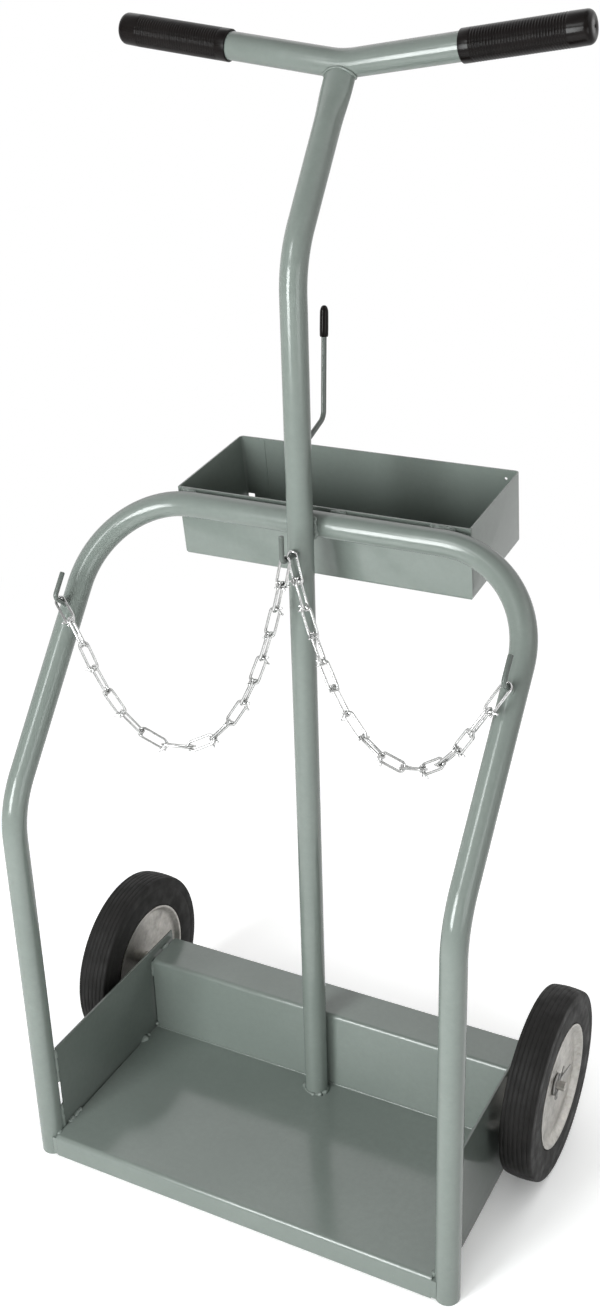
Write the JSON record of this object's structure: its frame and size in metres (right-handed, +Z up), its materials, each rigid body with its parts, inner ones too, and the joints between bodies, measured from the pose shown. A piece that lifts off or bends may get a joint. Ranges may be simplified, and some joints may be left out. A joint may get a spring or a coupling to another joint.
{
  "type": "gas cylinder cart",
  "caption": "Gas cylinder cart with a bent tube arch and central mast on a low platform, rear wheels, a handlebar, a tool tray, a hose hook and slack holding chains.",
  "frame": {"origin": "on the floor, under the middle of the cart's bounding box", "axes": "+Z up, +X to the cart's right as seen from the front, +Y to the back, where the wheels are"},
  "size_m": [0.6984, 0.4686, 1.4449],
  "materials": {
    "grey_green_paint": "gloss grey-green paint",
    "zinc_plate": "bright zinc plate",
    "black_vinyl": "satin black vinyl",
    "black_rubber": "matt black rubber"
  },
  "bodies": {
    "frame": {"arch_frame": "grey_green_paint", "axle": "zinc_plate", "handlebar": "grey_green_paint", "hose_hook": "grey_green_paint", "hose_hook_tip": "black_vinyl", "left_axle_washer": "zinc_plate", "left_chain_hook": "grey_green_paint", "left_cotter_pin": "zinc_plate", "left_grip": "black_vinyl", "left_side_plate": "grey_green_paint", "mast": "grey_green_paint", "mast_chain_hook": "grey_green_paint", "platform": "grey_green_paint", "rear_step": "grey_green_paint", "right_axle_washer": "zinc_plate", "right_chain_hook": "grey_green_paint", "right_cotter_pin": "zinc_plate", "right_grip": "black_vinyl", "right_side_plate": "grey_green_paint", "tool_tray": "grey_green_paint"},
    "left_wheel": {"left_hub": "zinc_plate", "left_inner_disc": "zinc_plate", "left_outer_disc": "zinc_plate", "left_tyre": "black_rubber"},
    "right_wheel": {"right_hub": "zinc_plate", "right_inner_disc": "zinc_plate", "right_outer_disc": "zinc_plate", "right_tyre": "black_rubber"},
    "left_chain": {"left_chain_link_01": "zinc_plate", "left_chain_link_02": "zinc_plate", "left_chain_link_03": "zinc_plate", "left_chain_link_04": "zinc_plate", "left_chain_link_05": "zinc_plate", "left_chain_link_06": "zinc_plate", "left_chain_link_07": "zinc_plate", "left_chain_link_08": "zinc_plate", "left_chain_link_09": "zinc_plate", "left_chain_link_10": "zinc_plate", "left_chain_link_11": "zinc_plate", "left_chain_link_12": "zinc_plate", "left_chain_link_13": "zinc_plate", "left_chain_link_14": "zinc_plate", "left_chain_link_15": "zinc_plate", "left_chain_link_16": "zinc_plate", "left_chain_link_17": "zinc_plate"},
    "right_chain": {"right_chain_link_01": "zinc_plate", "right_chain_link_02": "zinc_plate", "right_chain_link_03": "zinc_plate", "right_chain_link_04": "zinc_plate", "right_chain_link_05": "zinc_plate", "right_chain_link_06": "zinc_plate", "right_chain_link_07": "zinc_plate", "right_chain_link_08": "zinc_plate", "right_chain_link_09": "zinc_plate", "right_chain_link_10": "zinc_plate", "right_chain_link_11": "zinc_plate", "right_chain_link_12": "zinc_plate", "right_chain_link_13": "zinc_plate", "right_chain_link_14": "zinc_plate", "right_chain_link_15": "zinc_plate"}
  },
  "joints": [
    {"name": "left_wheel_spin", "type": "hinge", "parent": "frame", "child": "left_wheel", "pos_m": [-0.3234, 0.05959, 0.129], "axis": [1, 0, 0], "continuous": true},
    {"name": "right_wheel_spin", "type": "hinge", "parent": "frame", "child": "right_wheel", "pos_m": [0.3234, 0.05959, 0.129], "axis": [1, 0, 0], "continuous": true},
    {"name": "left_chain_swing", "type": "hinge", "parent": "frame", "child": "left_chain", "pos_m": [-0.29987, -0.07636, 0.77795], "axis": [-0.9514, -0.1555, -0.266], "range_deg": [-10, 12]},
    {"name": "right_chain_swing", "type": "hinge", "parent": "frame", "child": "right_chain", "pos_m": [0.29813, -0.07557, 0.77894], "axis": [-0.9426, 0.208, 0.2612], "range_deg": [-10, 12]}
  ]
}
